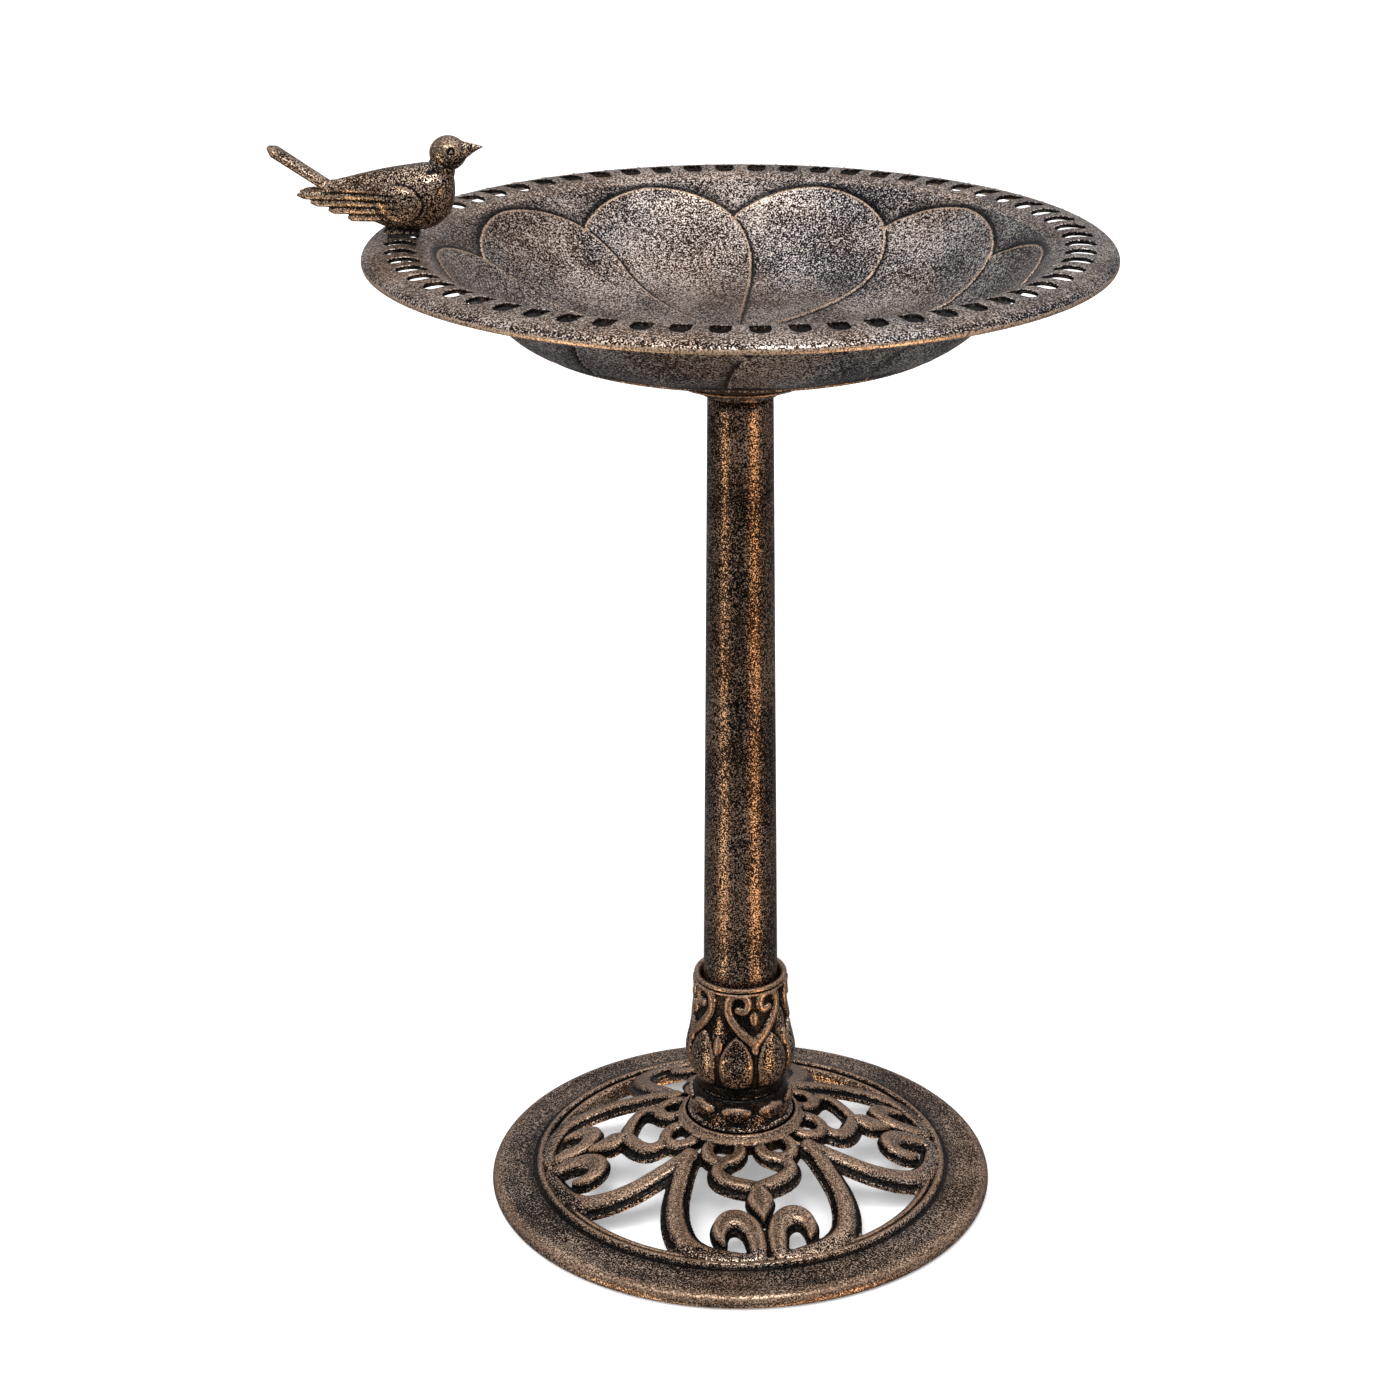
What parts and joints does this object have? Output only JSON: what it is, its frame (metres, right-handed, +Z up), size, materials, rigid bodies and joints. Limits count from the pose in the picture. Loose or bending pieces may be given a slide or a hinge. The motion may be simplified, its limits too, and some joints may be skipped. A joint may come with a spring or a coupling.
{
  "type": "bird bath",
  "caption": "Pedestal bird bath: slotted round dish that turns and lifts off a tapered column, lotus socket, pierced round base, and a small bird on the rim.",
  "frame": {"origin": "on the floor, on the axis of the column", "axes": "+Z up along the column, -Y towards the front, the bird stands on the rim at -X"},
  "size_m": [0.5554, 0.5006, 0.7769],
  "materials": {
    "bronze": "antique bronze, speckled, satin, worn bright on the edges",
    "steel": "zinc plated",
    "rubber": "matte",
    "nylon": "natural nylon"
  },
  "bodies": {
    "stand": {"base_ring": "bronze", "base_grille": "bronze", "grille_screws": "steel", "hub_rosette": "bronze", "column_socket": "bronze", "socket_gasket": "rubber", "column_tube": "bronze", "tie_rod": "steel", "rod_washers": "steel", "rod_nut_lower": "steel", "rod_nut_upper": "steel", "column_plug": "bronze"},
    "bush": {"turn_bush": "nylon"},
    "bowl": {"bowl": "bronze", "saucer": "bronze", "bowl_flange": "bronze", "flange_gasket": "rubber", "flange_screws": "steel"},
    "bird": {"bird_body": "bronze", "bird_stud": "steel", "bird_pad": "rubber", "stud_washer": "steel"},
    "wing_nut": {"wing_nut": "steel"}
  },
  "joints": [
    {"name": "bowl_lift", "type": "slide", "parent": "stand", "child": "bush", "axis": [0, 0, 1], "range_m": [0, 0.06]},
    {"name": "bowl_turn", "type": "hinge", "parent": "bush", "child": "bowl", "pos_m": [0, 0, 0.6], "axis": [0, 0, 1], "continuous": true},
    {"name": "bird_turn", "type": "hinge", "parent": "bowl", "child": "bird", "pos_m": [-0.22419, 0.01175, 0.7125], "axis": [0, 0, 1], "continuous": true},
    {"name": "wing_nut_spin", "type": "hinge", "parent": "bird", "child": "wing_nut", "pos_m": [-0.22419, 0.01175, 0.703], "axis": [0, 0, -1], "continuous": true}
  ]
}
